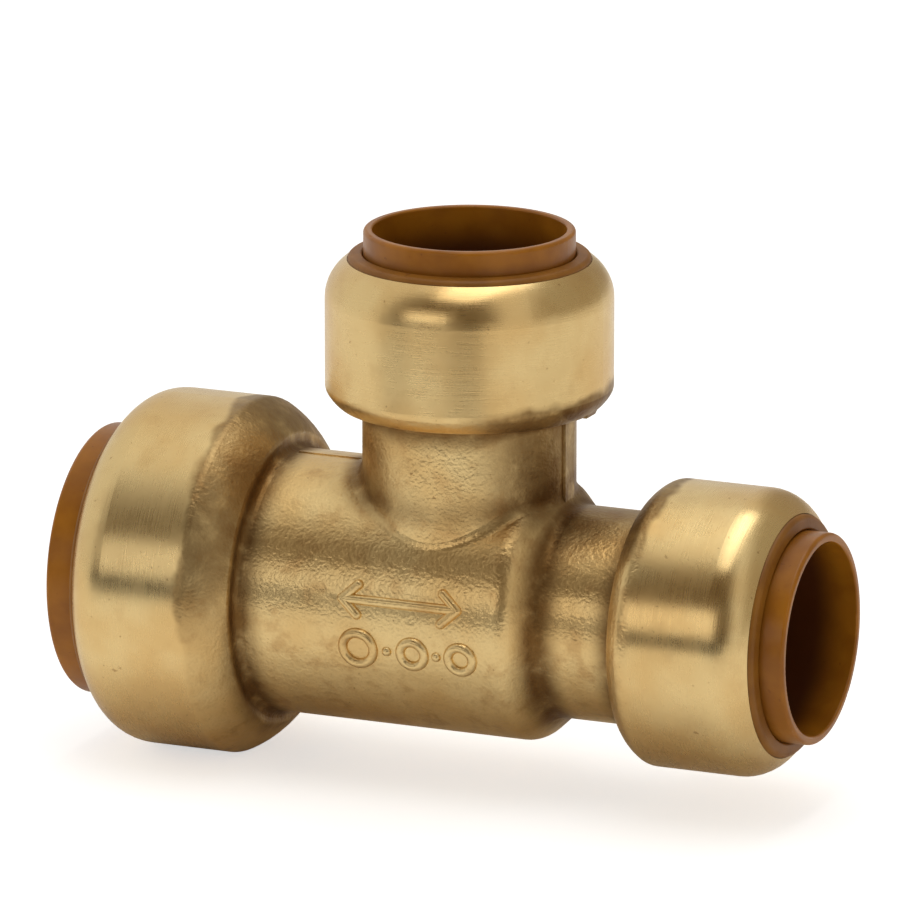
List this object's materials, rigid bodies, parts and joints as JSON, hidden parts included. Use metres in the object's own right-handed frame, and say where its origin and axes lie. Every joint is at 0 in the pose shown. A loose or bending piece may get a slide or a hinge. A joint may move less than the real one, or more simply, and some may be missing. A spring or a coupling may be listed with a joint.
{
  "type": "push to connect reducing tee fitting",
  "caption": "Brass push-to-connect plumbing tee: a wide and a narrow tube socket on a straight run with a narrow branch, each with a plastic release collar.",
  "frame": {"origin": "where the axes of the run and the branch cross, inside the brass body", "axes": "+X along the run towards the narrow run socket, -X towards the wide socket, +Z along the branch out of its socket, +Y away from the face with the raised mark"},
  "size_m": [0.0909, 0.042, 0.0652],
  "materials": {
    "brass": "forged, with turned sockets",
    "collar_plastic": "moulded",
    "ring_plastic": "moulded",
    "washer_plastic": "moulded",
    "stainless": "stamped",
    "seal_rubber": "greased"
  },
  "bodies": {
    "fitting": {"tee_body": "brass", "o_ring_28": "seal_rubber", "o_ring_protector_28": "washer_plastic", "retaining_ring_28": "ring_plastic", "o_ring_22_run": "seal_rubber", "o_ring_protector_22_run": "washer_plastic", "retaining_ring_22_run": "ring_plastic", "o_ring_22_branch": "seal_rubber", "o_ring_protector_22_branch": "washer_plastic", "retaining_ring_22_branch": "ring_plastic"},
    "grip_28": {"grab_ring_28": "stainless"},
    "collar_28": {"release_collar_28": "collar_plastic"},
    "grip_22_run": {"grab_ring_22_run": "stainless"},
    "collar_22_run": {"release_collar_22_run": "collar_plastic"},
    "grip_22_branch": {"grab_ring_22_branch": "stainless"},
    "collar_22_branch": {"release_collar_22_branch": "collar_plastic"}
  },
  "joints": [
    {"name": "grip_28_turn", "type": "hinge", "parent": "fitting", "child": "grip_28", "pos_m": [-0.0345, 0, 0], "axis": [-1, 0, 0], "continuous": true},
    {"name": "collar_28_press", "type": "slide", "parent": "grip_28", "child": "collar_28", "axis": [1, 0, 0], "range_m": [0, 0.0021], "stiffness_N_per_m": 300, "springref_m": -0.0005, "deforming": ["grab_ring_28"]},
    {"name": "grip_22_run_turn", "type": "hinge", "parent": "fitting", "child": "grip_22_run", "pos_m": [0.0333, 0, 0], "axis": [1, 0, 0], "continuous": true},
    {"name": "collar_22_run_press", "type": "slide", "parent": "grip_22_run", "child": "collar_22_run", "axis": [-1, 0, 0], "range_m": [0, 0.0019], "stiffness_N_per_m": 300, "springref_m": -0.0005, "deforming": ["grab_ring_22_run"]},
    {"name": "grip_22_branch_turn", "type": "hinge", "parent": "fitting", "child": "grip_22_branch", "pos_m": [0, 0, 0.0333], "axis": [0, 0, 1], "continuous": true},
    {"name": "collar_22_branch_press", "type": "slide", "parent": "grip_22_branch", "child": "collar_22_branch", "axis": [0, 0, -1], "range_m": [0, 0.0019], "stiffness_N_per_m": 300, "springref_m": -0.0005, "deforming": ["grab_ring_22_branch"]}
  ]
}
